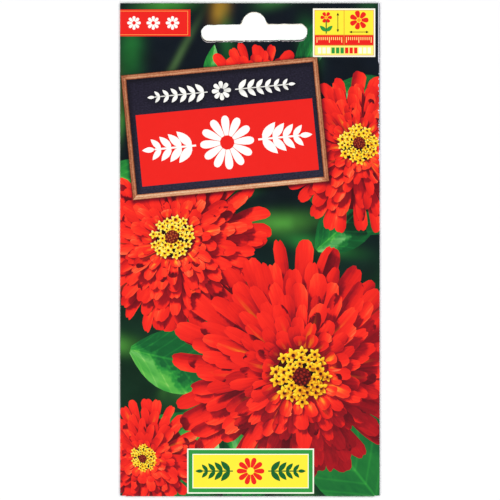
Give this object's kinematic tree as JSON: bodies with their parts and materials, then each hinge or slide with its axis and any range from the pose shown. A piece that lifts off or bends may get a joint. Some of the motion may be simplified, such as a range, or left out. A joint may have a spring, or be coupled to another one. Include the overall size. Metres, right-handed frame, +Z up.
{
  "type": "seed packet",
  "caption": "Flat printed paper seed packet, folded and glued from one sheet, with a punched hang slot and loose flower seeds sealed inside.",
  "frame": {"origin": "middle of the packet's outline, on the surface that it lies on", "axes": "+X to the right of the printed front, +Y along the packet towards the hang slot, +Z up out of the printed front"},
  "size_m": [0.0782, 0.1486, 0.0019],
  "materials": {
    "printed_paper": "coated paper printed in full colour outside, white inside, light satin gloss",
    "dry_glue": "thin dry dispersion glue, slightly yellow",
    "seed_husk": "dry grey-brown husk, matt"
  },
  "bodies": {
    "root": {"paper": "printed_paper", "seam_glue": "dry_glue", "header_glue": "dry_glue", "header_side_glue": "dry_glue", "lower_flap_glue": "dry_glue", "seed_01": "seed_husk", "seed_02": "seed_husk", "seed_03": "seed_husk", "seed_04": "seed_husk", "seed_05": "seed_husk", "seed_06": "seed_husk", "seed_07": "seed_husk", "seed_08": "seed_husk", "seed_09": "seed_husk", "seed_10": "seed_husk", "seed_11": "seed_husk", "seed_12": "seed_husk", "seed_13": "seed_husk", "seed_14": "seed_husk", "seed_15": "seed_husk", "seed_16": "seed_husk", "seed_17": "seed_husk", "seed_18": "seed_husk", "seed_19": "seed_husk", "seed_20": "seed_husk", "seed_21": "seed_husk", "seed_22": "seed_husk", "seed_23": "seed_husk", "seed_24": "seed_husk", "seed_25": "seed_husk", "seed_26": "seed_husk", "seed_27": "seed_husk", "seed_28": "seed_husk"}
  },
  "joints": []
}
